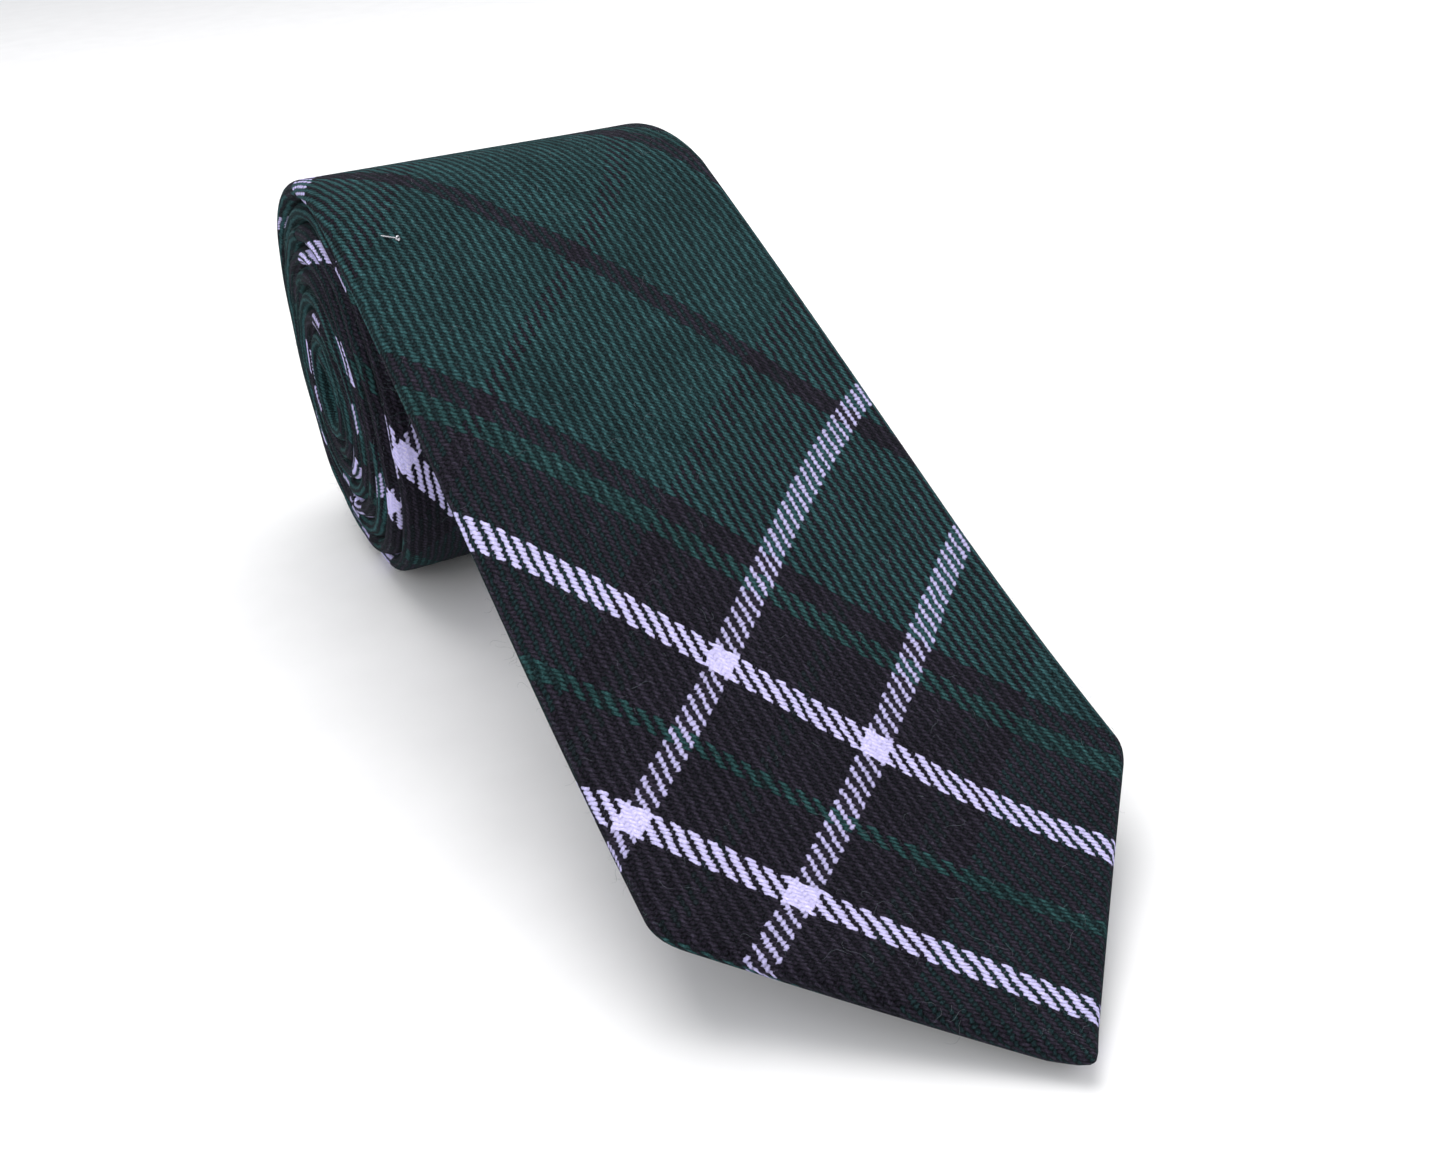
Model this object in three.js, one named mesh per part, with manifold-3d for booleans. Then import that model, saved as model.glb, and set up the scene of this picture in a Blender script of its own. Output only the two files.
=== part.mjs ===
// A woollen necktie, rolled up from its narrow end, with the wide blade left free
// and sloping down to the table. Millimetres, +Z up. The roll's axis lies along X,
// the free blade runs towards -Y, and the origin is on the table under the roll.
//
// A place on the tie is given by s, the distance from the blade's point along the
// tie, and by the depth under its patterned outer face.

import * as THREE from "three";
import { mergeVertices } from "three/addons/utils/BufferGeometryUtils.js";
import Module from "manifold-3d";

const wasm = await Module();
wasm.setup();

// ---- driving dimensions -------------------------------------------------------

const TIE_LENGTH = 1492;
const BLADE_WIDTH = 83; // at the blade's two corners
const ROLL_START_WIDTH = 81.3; // where the blade meets the roll
const NECK_WIDTH = 38;
const TAIL_WIDTH = 46;
const POINT_LENGTH = 42; // from the corners to the point of the blade
const POINT_OFFSET = 3.6; // the point sits a little to the right of the middle
const TAIL_POINT_LENGTH = 23;
const NECK_FROM = 760;
const NECK_TO = 1000;

const CLOTH = 1.0; // thickness of the woollen shell
const INTERLINING = 1.2;
const TIPPING = 0.3;
const GAP = 0.3; // between layers that touch
const THICKNESS = 2 * CLOTH + 2 * GAP + INTERLINING;

const ROLL_RADIUS = 45; // outside, where the free blade leaves the roll
const ROLL_SQUASH = 0.976; // the roll sinks a little under its own weight
const ROLL_PITCH = 4.4; // from one turn to the next
const FREE_LENGTH = 197; // from the point to where the blade meets the roll
const SLOPE_AT_ROLL = 0.436; // radians below level
const SLOPE_HALFWAY = 0.466;
const SLOPE_AT_POINT = 0.25;
const FOLD_AT = 178; // the blade lifts about this line
const TURN_STEPS = 24; // facets in one turn, one of them flat on the table
// The roll's left edges are nearly level: [place along the tie, left edge].
const ROLL_LEFT = [
  [FREE_LENGTH, -40.65],
  [255, -41],
  [355, -38.9],
  [420, -40],
  [520, -40.8],
  [760, -42],
  [TIE_LENGTH, -43.2],
];

const FOLD_RADIUS = 1.0; // chamfer of the folded edges
const SLIT = 1.4; // between the two back flaps
const HEM_AT_CORNER = 14;
const FLAPS_MEET_AT = 96;
const TAIL_FLAPS_MEET = 44; // from the tail's end
const FRONT_SEAM_AT = 700;
const TAIL_SEAM_AT = 980;
const SEAM_GAP = 0.9;
const THREAD = 0.3;

const LOOP_AT = 164; // keeper loop, across the back of the blade
const LOOP_WIDTH = 11;
const LOOP_SPAN = 58;
const LOOP_RISE = 1.8;
const MAKER_LABEL = { at: 136, length: 24, width: 46 };
const CARE_LABEL = { at: 110, length: 14, width: 22 };
const LABEL_THICKNESS = 0.35;

const PIN_LENGTH = 14;
const PIN_RADIUS = 0.3;
const PIN_TAPER = 3;
const PIN_HEAD_RADIUS = 0.6;
const PIN_CLEARANCE = 0.32;
const PIN_HOLE_SPARE = 1.5; // past its tip
const PIN_AT = { s: 191.6, x: -31 }; // where it goes in
const PIN_DIP = 0.35; // radians under the face of the cloth
const PIN_TURN = 0.95; // radians from straight across, towards the roll
const PIN_PROUD = 4; // length of the shaft left showing

// ---- materials ----------------------------------------------------------------

function finish(color, roughness, metalness = 0) {
  return new THREE.MeshStandardMaterial({ color, roughness, metalness });
}
const woolCloth = () => finish(0x1d3b36, 0.95);
const canvas = () => finish(0xd9d4c4, 0.9);
const lining = () => finish(0x16181c, 0.55);
const labelSatin = () => finish(0x20242b, 0.5);
const careSatin = () => finish(0xe8e6df, 0.55);
const sewingThread = () => finish(0x1a2b29, 0.7);
const steel = () => finish(0xb9bcc0, 0.28, 1);

// ---- the line that the tie follows, seen from the side --------------------------

const blend = (a, b, t) => a + (b - a) * Math.min(1, Math.max(0, t));

const leaveAngle = -SLOPE_AT_ROLL;
const halfStep = Math.PI / TURN_STEPS;
const turnRadius = (angle) => ROLL_RADIUS - (ROLL_PITCH * (angle - leaveAngle)) / (2 * Math.PI);
// The first turn's lowest facet lies flat on the table.
const restRadius = turnRadius(Math.PI);
const axisHeight = restRadius * ROLL_SQUASH * Math.cos(halfStep);

// A station is one cross-section: its place s, and a point at any depth.
function rollStation(s, angle) {
  const onTable = Math.abs(angle - Math.PI) < halfStep * 1.01;
  const radius = onTable ? restRadius : turnRadius(angle);
  const point = (depth) => [
    (radius - depth) * Math.sin(angle),
    axisHeight + (radius - depth) * ROLL_SQUASH * Math.cos(angle),
  ];
  return { s, angle, point };
}

function slopeAt(s) {
  const run = FREE_LENGTH - s;
  const half = FREE_LENGTH / 2;
  if (run < half) return blend(SLOPE_AT_ROLL, SLOPE_HALFWAY, run / half);
  return blend(SLOPE_HALFWAY, SLOPE_AT_POINT, (run - half) / half);
}

const leaving = rollStation(FREE_LENGTH, leaveAngle);

function bladeStation(s) {
  if (s === FREE_LENGTH) return leaving;
  const steps = 60;
  const ds = (FREE_LENGTH - s) / steps;
  let [y, z] = leaving.point(0);
  for (let i = 0; i < steps; i += 1) {
    const slope = slopeAt(FREE_LENGTH - (i + 0.5) * ds);
    y -= Math.cos(slope) * ds;
    z -= Math.sin(slope) * ds;
  }
  const slope = slopeAt(s);
  const point = (depth) => [y + depth * Math.sin(slope), z - depth * Math.cos(slope)];
  return { s, slope, point };
}

// Stations along the whole roll, at the same angles in every turn.
function rollStations() {
  const stations = [leaving];
  const middleDepth = THICKNESS / 2;
  let s = FREE_LENGTH;
  let angle = leaveAngle;
  let next = Math.ceil(leaveAngle / (2 * halfStep) - 0.5) * 2 * halfStep + halfStep;
  if (next - angle < 0.02) next += 2 * halfStep;
  for (;;) {
    const middle = turnRadius((angle + next) / 2) - middleDepth;
    s += middle * (next - angle) * ((1 + ROLL_SQUASH) / 2);
    angle = next;
    if (s > TIE_LENGTH) return stations;
    stations.push(rollStation(s, angle));
    next += 2 * halfStep;
  }
}

const wound = rollStations();
const tailEnd = wound[wound.length - 1].s;

const stationsBetween = (from, to) => wound.filter((station) => station.s > from && station.s < to);

// A station part-way between two facets lies on the straight facet.
function woundStationAt(s) {
  const after = wound.findIndex((station) => station.s >= s);
  const a = wound[after - 1];
  const b = wound[after];
  const t = (s - a.s) / (b.s - a.s);
  const point = (depth) => {
    const [ya, za] = a.point(depth);
    const [yb, zb] = b.point(depth);
    return [blend(ya, yb, t), blend(za, zb, t)];
  };
  return { s, point };
}

// ---- the outline of the tie laid flat -------------------------------------------

function widthAt(s) {
  const tailCorner = tailEnd - TAIL_POINT_LENGTH;
  if (s > tailCorner) return blend(TAIL_WIDTH, 5, (s - tailCorner) / TAIL_POINT_LENGTH);
  if (s > NECK_TO) return blend(NECK_WIDTH, TAIL_WIDTH, (s - NECK_TO) / (tailCorner - NECK_TO));
  if (s > FREE_LENGTH) {
    return blend(ROLL_START_WIDTH, NECK_WIDTH, (s - FREE_LENGTH) / (NECK_FROM - FREE_LENGTH));
  }
  return blend(BLADE_WIDTH, ROLL_START_WIDTH, (s - POINT_LENGTH) / (FREE_LENGTH - POINT_LENGTH));
}

function along(stops, s) {
  const after = stops.findIndex(([place]) => place >= s);
  if (after < 1) return after < 0 ? stops[stops.length - 1][1] : stops[0][1];
  const [s0, v0] = stops[after - 1];
  const [s1, v1] = stops[after];
  return blend(v0, v1, (s - s0) / (s1 - s0));
}

// Left and right edges at s. The roll is level at the left, so its taper is all on the right.
function edgesAt(s) {
  if (s < POINT_LENGTH) {
    const t = s / POINT_LENGTH;
    const point = POINT_OFFSET * (1 - t);
    return [point - (BLADE_WIDTH / 2) * t, point + (BLADE_WIDTH / 2) * t];
  }
  const width = widthAt(s);
  if (s < FREE_LENGTH) return [-width / 2, width / 2];
  const left = along(ROLL_LEFT, s);
  const tailCorner = tailEnd - TAIL_POINT_LENGTH;
  if (s > tailCorner) {
    const middle = left + TAIL_WIDTH / 2;
    return [middle - width / 2, middle + width / 2];
  }
  return [left, left + width];
}

// Half the space between the two back flaps.
function slitAt(s) {
  const open = BLADE_WIDTH / 2 - HEM_AT_CORNER;
  const closed = SLIT / 2;
  const fromEnd = tailEnd - s;
  if (s < POINT_LENGTH) return blend(closed, open, (s - HEM_AT_CORNER) / (POINT_LENGTH - HEM_AT_CORNER));
  if (s < FLAPS_MEET_AT) return blend(open, closed, (s - POINT_LENGTH) / (FLAPS_MEET_AT - POINT_LENGTH));
  if (fromEnd < TAIL_POINT_LENGTH) return blend(closed, 11, (fromEnd - 8) / (TAIL_POINT_LENGTH - 8));
  if (fromEnd < TAIL_FLAPS_MEET) {
    return blend(11, closed, (fromEnd - TAIL_POINT_LENGTH) / (TAIL_FLAPS_MEET - TAIL_POINT_LENGTH));
  }
  return closed;
}

// ---- solids ---------------------------------------------------------------------

// Joins rings of points, one ring per station, into one closed solid.
// outline(station) gives the ring as [across, depth] pairs.
function sweep(stations, outline) {
  const rings = stations.map((station) =>
    outline(station).map(([x, depth]) => new THREE.Vector3(x, ...station.point(depth))),
  );
  const count = rings[0].length;
  const positions = rings.flat().flatMap((p) => [p.x, p.y, p.z]);
  const index = [];
  for (let i = 0; i + 1 < rings.length; i += 1) {
    for (let j = 0; j < count; j += 1) {
      const a = i * count + j;
      const b = i * count + ((j + 1) % count);
      index.push(a, b, b + count, a, b + count, a + count);
    }
  }
  const capOf = (station) =>
    THREE.ShapeUtils.triangulateShape(
      outline(station).map(([x, depth]) => new THREE.Vector2(x, depth)),
      [],
    );
  const last = (rings.length - 1) * count;
  const turnsForward = THREE.ShapeUtils.area(
    outline(stations[0]).map(([x, depth]) => new THREE.Vector2(x, depth)),
  );
  for (const [a, b, c] of capOf(stations[0])) {
    if (turnsForward > 0) index.push(a, c, b);
    else index.push(a, b, c);
  }
  for (const [a, b, c] of capOf(stations[stations.length - 1])) {
    if (turnsForward > 0) index.push(last + a, last + b, last + c);
    else index.push(last + a, last + c, last + b);
  }
  const geometry = new THREE.BufferGeometry();
  geometry.setAttribute("position", new THREE.Float32BufferAttribute(positions, 3));
  geometry.setIndex(index);
  return facingOut(geometry);
}

function signedVolume(geometry) {
  const position = geometry.getAttribute("position");
  const index = geometry.getIndex();
  const corner = (k) => new THREE.Vector3().fromBufferAttribute(position, index.getX(k));
  let volume = 0;
  for (let k = 0; k < index.count; k += 3) {
    volume += corner(k).dot(corner(k + 1).cross(corner(k + 2))) / 6;
  }
  return volume;
}

function facingOut(geometry) {
  if (signedVolume(geometry) < 0) geometry.setIndex(Array.from(geometry.getIndex().array).reverse());
  return geometry;
}

function toSolid(geometry) {
  const bare = geometry.clone();
  bare.deleteAttribute("normal");
  bare.deleteAttribute("uv");
  const merged = mergeVertices(bare, 1e-4);
  return new wasm.Manifold(
    new wasm.Mesh({
      numProp: 3,
      vertProperties: new Float32Array(merged.getAttribute("position").array),
      triVerts: new Uint32Array(merged.getIndex().array),
    }),
  );
}

function toGeometry(solid) {
  const mesh = solid.getMesh();
  const geometry = new THREE.BufferGeometry();
  geometry.setAttribute("position", new THREE.BufferAttribute(mesh.vertProperties, 3));
  geometry.setIndex(new THREE.BufferAttribute(mesh.triVerts, 1));
  return geometry;
}

// ---- cross-sections ---------------------------------------------------------------

// The shell is one cloth folded round both edges to the back, where its flaps meet.
function shellOutline({ s }) {
  const [left, right] = edgesAt(s);
  const middle = (left + right) / 2;
  const slit = Math.min(slitAt(s), (right - left) / 2 - CLOTH - 0.6);
  const back = THICKNESS;
  const r = FOLD_RADIUS;
  return [
    [middle - slit, back],
    [left + r, back],
    [left, back - r],
    [left, r],
    [left + r, 0],
    [right - r, 0],
    [right, r],
    [right, back - r],
    [right - r, back],
    [middle + slit, back],
    [middle + slit, back - CLOTH],
    [right - CLOTH, back - CLOTH],
    [right - CLOTH, CLOTH],
    [left + CLOTH, CLOTH],
    [left + CLOTH, back - CLOTH],
    [middle - slit, back - CLOTH],
  ];
}

function bandOutline(inset, top, bottom) {
  return ({ s }) => {
    const [left, right] = edgesAt(s);
    return [
      [left + inset, top],
      [right - inset, top],
      [right - inset, bottom],
      [left + inset, bottom],
    ];
  };
}

const liningInset = CLOTH + 0.4;
const liningTop = CLOTH + GAP;
const backInside = THICKNESS - CLOTH - GAP;
const thinInterlining = bandOutline(liningInset, liningTop, backInside - TIPPING - GAP);
const fullInterlining = bandOutline(liningInset, liningTop, backInside);
const tippingBand = bandOutline(liningInset, backInside - TIPPING, backInside);

function rect(x0, x1, top, bottom) {
  return () => [
    [x0, top],
    [x1, top],
    [x1, bottom],
    [x0, bottom],
  ];
}

// ---- the pin -----------------------------------------------------------------------

const pinStation = bladeStation(PIN_AT.s);
const pinFace = new THREE.Vector3(PIN_AT.x, ...pinStation.point(0));
const faceNormal = new THREE.Vector3(0, -Math.sin(pinStation.slope), Math.cos(pinStation.slope));
const towardsRoll = new THREE.Vector3(0, Math.cos(pinStation.slope), Math.sin(pinStation.slope));
const pinInward = new THREE.Vector3(-Math.cos(PIN_TURN), 0, 0)
  .addScaledVector(towardsRoll, Math.sin(PIN_TURN))
  .multiplyScalar(Math.cos(PIN_DIP))
  .addScaledVector(faceNormal, -Math.sin(PIN_DIP));
const pinHead = pinFace.clone().addScaledVector(pinInward, -PIN_PROUD);

function alongPin(geometry, from) {
  const turn = new THREE.Quaternion().setFromUnitVectors(new THREE.Vector3(0, 1, 0), pinInward);
  geometry.applyQuaternion(turn);
  const start = pinHead.clone().addScaledVector(pinInward, from);
  return geometry.translate(start.x, start.y, start.z);
}

function pinShaft() {
  const shaftFrom = PIN_HEAD_RADIUS + 0.05;
  const profile = [
    new THREE.Vector2(0, shaftFrom),
    new THREE.Vector2(PIN_RADIUS, shaftFrom),
    new THREE.Vector2(PIN_RADIUS, PIN_LENGTH - PIN_TAPER),
    new THREE.Vector2(PIN_RADIUS * 0.5, PIN_LENGTH - PIN_TAPER / 3),
    new THREE.Vector2(0, PIN_LENGTH),
  ];
  return alongPin(new THREE.LatheGeometry(profile, 10), 0);
}

function pinHeadBall() {
  return alongPin(new THREE.SphereGeometry(PIN_HEAD_RADIUS, 14, 10), 0);
}

function pinHole() {
  const radius = PIN_RADIUS + PIN_CLEARANCE;
  const length = PIN_LENGTH + PIN_HOLE_SPARE;
  const drill = new THREE.CylinderGeometry(radius, radius, length, 8);
  return toSolid(alongPin(drill, length / 2));
}

const drill = pinHole();
const pierced = (geometry) => toGeometry(toSolid(geometry).subtract(drill));

// ---- shell --------------------------------------------------------------------------

const liftGap = 0.4; // between the blade and the roll, along the fold
// Sections of the free blade are taken at these places.
const pointStations = [2.5, 4, 8, HEM_AT_CORNER, 28, POINT_LENGTH];
const bladeRun = [69, FLAPS_MEET_AT, 115, 135, 155, 167];
const bladeEnd = FOLD_AT - liftGap / 2;
const frontRun = [...pointStations, ...bladeRun, bladeEnd];
const rolledStart = [bladeStation(FOLD_AT + liftGap / 2), bladeStation(188), leaving];

function frontBladeShell() {
  return sweep(frontRun.map(bladeStation), shellOutline);
}

function frontRollShell() {
  const end = FRONT_SEAM_AT - SEAM_GAP / 2;
  const run = [...rolledStart, ...stationsBetween(FREE_LENGTH + 0.1, end), woundStationAt(end)];
  return pierced(sweep(run, shellOutline));
}

function woundPiece(from, to, outline) {
  return sweep([woundStationAt(from), ...stationsBetween(from, to), woundStationAt(to)], outline);
}

const neckShell = () =>
  woundPiece(FRONT_SEAM_AT + SEAM_GAP / 2, TAIL_SEAM_AT - SEAM_GAP / 2, shellOutline);

function tailShell() {
  const from = TAIL_SEAM_AT + SEAM_GAP / 2;
  const corner = tailEnd - TAIL_POINT_LENGTH;
  const run = [woundStationAt(from), ...stationsBetween(from, corner), woundStationAt(corner)];
  return sweep([...run, ...stationsBetween(corner, tailEnd), woundStationAt(tailEnd - 0.1)], shellOutline);
}

// ---- inner layers -----------------------------------------------------------------------

const liningStart = 9;
const tippingEnd = 118;
const linedRun = [liningStart, HEM_AT_CORNER, 28, POINT_LENGTH, 69, FLAPS_MEET_AT];

function frontBladeInterlining() {
  const thin = [...linedRun, tippingEnd + 1];
  const full = [tippingEnd + 1.2, 135, 155, 167, bladeEnd];
  const outline = (station) => (station.s < tippingEnd + 1.1 ? thinInterlining : fullInterlining)(station);
  return sweep([...thin, ...full].map(bladeStation), outline);
}

function frontRollInterlining() {
  const end = NECK_FROM;
  const run = [...rolledStart, ...stationsBetween(FREE_LENGTH + 0.1, end), woundStationAt(end)];
  return pierced(sweep(run, fullInterlining));
}

const tailTippingLength = 60;

function tailInterlining() {
  const from = NECK_FROM + 0.5;
  const thinFrom = tailEnd - tailTippingLength - 2;
  const to = tailEnd - 10;
  const outline = (station) => (station.s > thinFrom ? thinInterlining : fullInterlining)(station);
  const run = [woundStationAt(from), ...stationsBetween(from, thinFrom)];
  run.push(woundStationAt(thinFrom - 0.1), woundStationAt(thinFrom + 0.1));
  return sweep([...run, ...stationsBetween(thinFrom + 0.2, to), woundStationAt(to)], outline);
}

const frontTipping = () => sweep([...linedRun, tippingEnd].map(bladeStation), tippingBand);

const tailTipping = () => woundPiece(tailEnd - tailTippingLength, tailEnd - 10, tippingBand);

// ---- thread ---------------------------------------------------------------------------------

const threadDepth = THICKNESS - CLOTH / 2;

function threadOutline({ s }) {
  const [left, right] = edgesAt(s);
  const middle = (left + right) / 2;
  return [
    [middle - THREAD / 2, threadDepth],
    [middle + THREAD / 2, threadDepth],
    [middle, threadDepth + THREAD],
  ];
}

function frontSlipStitch() {
  const run = [FLAPS_MEET_AT + 3, 115, 135, 155, 167, bladeEnd];
  return sweep(run.map(bladeStation), threadOutline);
}

function rolledSlipStitch() {
  const end = tailEnd - TAIL_FLAPS_MEET - 3;
  const run = [...rolledStart, ...stationsBetween(FREE_LENGTH + 0.1, end), woundStationAt(end)];
  return sweep(run, threadOutline);
}

// A short bar of thread across the two flaps, standing on the back of the tie.
function barTack(stationAt, s, halfWidth, halfLength) {
  const [left, right] = edgesAt(s);
  const middle = (left + right) / 2;
  const top = THICKNESS + GAP;
  const outline = (station) => {
    const rise = Math.abs(station.s - s) < halfLength / 2 ? 0.8 : 0.4;
    return rect(middle - halfWidth, middle + halfWidth, top, top + rise)();
  };
  return sweep([-1, -0.4, 0.4, 1].map((t) => stationAt(s + t * halfLength)), outline);
}

// The thread that joins two lengths of shell, lying in the seam between them.
function seamThread(s) {
  const [left, right] = edgesAt(s);
  const depth = CLOTH / 2;
  const outline = rect(left + 1, right - 1, depth, depth + THREAD);
  return sweep([woundStationAt(s - THREAD / 2), woundStationAt(s + THREAD / 2)], outline);
}

// ---- keeper loop and labels ----------------------------------------------------------------------

function keeperLoop() {
  const half = LOOP_SPAN / 2;
  const low = THICKNESS + GAP;
  const path = [
    [-half, low],
    [-half + 7, low],
    [-half + 12, low + LOOP_RISE],
    [0, low + LOOP_RISE * 1.15],
    [half - 12, low + LOOP_RISE],
    [half - 7, low],
    [half, low],
  ];
  const ring = [...path, ...path.map(([x, depth]) => [x, depth + CLOTH]).reverse()];
  const ends = [LOOP_AT - LOOP_WIDTH / 2, LOOP_AT + LOOP_WIDTH / 2];
  return sweep(ends.map(bladeStation), () => ring);
}

function keeperTack(side) {
  const middle = side * (LOOP_SPAN / 2 - 3);
  const top = THICKNESS + GAP + CLOTH + GAP;
  const outline = rect(middle - 0.7, middle + 0.7, top, top + 0.5);
  return sweep([LOOP_AT - 4, LOOP_AT + 4].map(bladeStation), outline);
}

function label({ at, length, width }) {
  const top = THICKNESS + GAP;
  const outline = rect(-width / 2, width / 2, top, top + LABEL_THICKNESS);
  return sweep([at - length / 2, at, at + length / 2].map(bladeStation), outline);
}

// A line of stitching round a label, 1.5 mm inside its edge.
function labelStitch({ at, length, width }) {
  const top = THICKNESS + GAP + LABEL_THICKNESS + GAP;
  const margin = 1.5;
  const frame = (inset) => {
    const half = width / 2 - inset;
    const outline = rect(-half, half, top - inset + margin, top + THREAD + inset - margin);
    return toSolid(sweep([-1, 0, 1].map((t) => bladeStation(at + t * (length / 2 - inset))), outline));
  };
  return toGeometry(frame(margin).subtract(frame(margin + THREAD * 1.5)));
}

// ---- assembly ----------------------------------------------------------------------------------------

const tie = new THREE.Group();

function add(name, geometry, material) {
  const mesh = new THREE.Mesh(geometry, material);
  mesh.name = name;
  tie.add(mesh);
}

add("front_blade_shell", frontBladeShell(), woolCloth());
add("front_roll_shell", frontRollShell(), woolCloth());
add("neck_shell", neckShell(), woolCloth());
add("tail_shell", tailShell(), woolCloth());

add("front_blade_interlining", frontBladeInterlining(), canvas());
add("front_roll_interlining", frontRollInterlining(), canvas());
add("tail_interlining", tailInterlining(), canvas());
add("front_tipping", frontTipping(), lining());
add("tail_tipping", tailTipping(), lining());

add("front_slip_stitch", frontSlipStitch(), sewingThread());
add("rolled_slip_stitch", rolledSlipStitch(), sewingThread());
add("front_bar_tack", barTack(bladeStation, FLAPS_MEET_AT + 1, 4, 1), sewingThread());
add("tail_bar_tack", barTack(woundStationAt, tailEnd - TAIL_FLAPS_MEET + 2, 3, 1), sewingThread());
add("front_neck_seam", seamThread(FRONT_SEAM_AT), sewingThread());
add("neck_tail_seam", seamThread(TAIL_SEAM_AT), sewingThread());

add("keeper_loop", keeperLoop(), woolCloth());
add("keeper_tack_left", keeperTack(-1), sewingThread());
add("keeper_tack_right", keeperTack(1), sewingThread());
add("maker_label", label(MAKER_LABEL), labelSatin());
add("maker_label_stitch", labelStitch(MAKER_LABEL), sewingThread());
add("care_label", label(CARE_LABEL), careSatin());
add("care_label_stitch", labelStitch(CARE_LABEL), sewingThread());

add("pin_shaft", pinShaft(), steel());
add("pin_head", pinHeadBall(), steel());

export default tie;
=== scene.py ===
import math

import bpy
import numpy as np
from mathutils import Matrix, Vector


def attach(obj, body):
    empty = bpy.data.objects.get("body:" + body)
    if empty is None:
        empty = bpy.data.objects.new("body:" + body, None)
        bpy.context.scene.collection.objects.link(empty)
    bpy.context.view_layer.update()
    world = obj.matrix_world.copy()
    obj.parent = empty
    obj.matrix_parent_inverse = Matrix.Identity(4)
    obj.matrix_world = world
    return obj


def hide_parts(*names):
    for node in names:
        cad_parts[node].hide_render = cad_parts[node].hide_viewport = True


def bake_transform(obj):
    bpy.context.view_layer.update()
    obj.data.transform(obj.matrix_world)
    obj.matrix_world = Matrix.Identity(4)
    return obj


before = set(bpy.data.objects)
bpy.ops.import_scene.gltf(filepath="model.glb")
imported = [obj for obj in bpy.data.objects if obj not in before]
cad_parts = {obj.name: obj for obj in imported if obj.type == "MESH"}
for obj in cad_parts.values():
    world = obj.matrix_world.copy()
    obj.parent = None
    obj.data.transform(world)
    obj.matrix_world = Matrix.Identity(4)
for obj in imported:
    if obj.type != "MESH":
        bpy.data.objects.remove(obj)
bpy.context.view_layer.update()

MM = 0.001
rng = np.random.default_rng(7)

# ---- the tie's size, as in the part --------------------------------------------------------------

BLADE_WIDTH = 83.0
ROLL_START_WIDTH = 81.3
NECK_WIDTH = 38.0
TAIL_WIDTH = 46.0
POINT_LENGTH = 42.0
POINT_OFFSET = 3.6
TAIL_POINT_LENGTH = 23.0
POINT_WORN = 1.2  # how much the soft point is short of a sharp one
NECK_FROM, NECK_TO = 760.0, 1000.0
THICKNESS = 3.8
ROLL_RADIUS = 45.0
ROLL_SQUASH = 0.976
ROLL_PITCH = 4.4
FREE_LENGTH = 197.0
SLOPE_AT_ROLL, SLOPE_HALFWAY, SLOPE_AT_POINT = 0.436, 0.466, 0.25
TURN_STEPS = 24
TAIL_END = 1491.48
# The roll's left edges are nearly level: places along the tie, and the left edge there.
ROLL_LEFT_AT = [FREE_LENGTH, 255, 355, 420, 520, 760, TAIL_END]
ROLL_LEFT = [-40.65, -41, -38.9, -40, -40.8, -42, -43.2]
HEM_AT_CORNER = 14.0
FLAPS_MEET_AT = 96.0
TAIL_FLAPS_MEET = 44.0
FRONT_SEAM_AT, TAIL_SEAM_AT = 700.0, 980.0
CLOTH = 0.95
FOLD_AT = 178.0
PIECE_ENDS_AT = 205.0  # the blade's cloth is one piece up to here, a little way onto the roll

# ---- the line that the tie follows ---------------------------------------------------------------

LEAVE_ANGLE = -SLOPE_AT_ROLL
HALF_STEP = math.pi / TURN_STEPS
MEAN_SQUASH = (1 + ROLL_SQUASH) / 2
SPIRAL = ROLL_PITCH / (4 * math.pi)


def turn_radius(angle):
    return ROLL_RADIUS - ROLL_PITCH * (angle - LEAVE_ANGLE) / (2 * math.pi)


REST_RADIUS = turn_radius(math.pi)
AXIS_HEIGHT = REST_RADIUS * ROLL_SQUASH * math.cos(HALF_STEP)


def angle_at(s):
    reach = ROLL_RADIUS - THICKNESS / 2
    run = np.maximum(s - FREE_LENGTH, 0) / MEAN_SQUASH
    return LEAVE_ANGLE + (reach - np.sqrt(reach**2 - 4 * SPIRAL * run)) / (2 * SPIRAL)


def roll_point(angle, depth):
    """Across-the-roll position of a place in the roll: (y, z). The lowest stretch is pressed flat."""
    radius = turn_radius(angle) - depth
    pressed = np.maximum(0, -REST_RADIUS * ROLL_SQUASH * np.cos(angle) - AXIS_HEIGHT)
    return radius * np.sin(angle), AXIS_HEIGHT + radius * ROLL_SQUASH * np.cos(angle) + pressed


def blade_line():
    """The free blade's outer face seen from the side, found by walking down from the roll."""
    step = 0.25
    s = np.arange(FREE_LENGTH, -4 - step, -step)
    half = FREE_LENGTH / 2
    run = np.clip(FREE_LENGTH - s, 0, FREE_LENGTH)
    slope = np.interp(run, [0, half, FREE_LENGTH], [SLOPE_AT_ROLL, SLOPE_HALFWAY, SLOPE_AT_POINT])
    y0, z0 = roll_point(np.array(LEAVE_ANGLE), 0.0)
    middle = (slope[1:] + slope[:-1]) / 2
    y = y0 - np.concatenate([[0], np.cumsum(np.cos(middle) * step)])
    z = z0 - np.concatenate([[0], np.cumsum(np.sin(middle) * step)])
    return s[::-1], y[::-1], z[::-1], slope[::-1]


LINE_S, LINE_Y, LINE_Z, LINE_SLOPE = blade_line()


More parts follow.
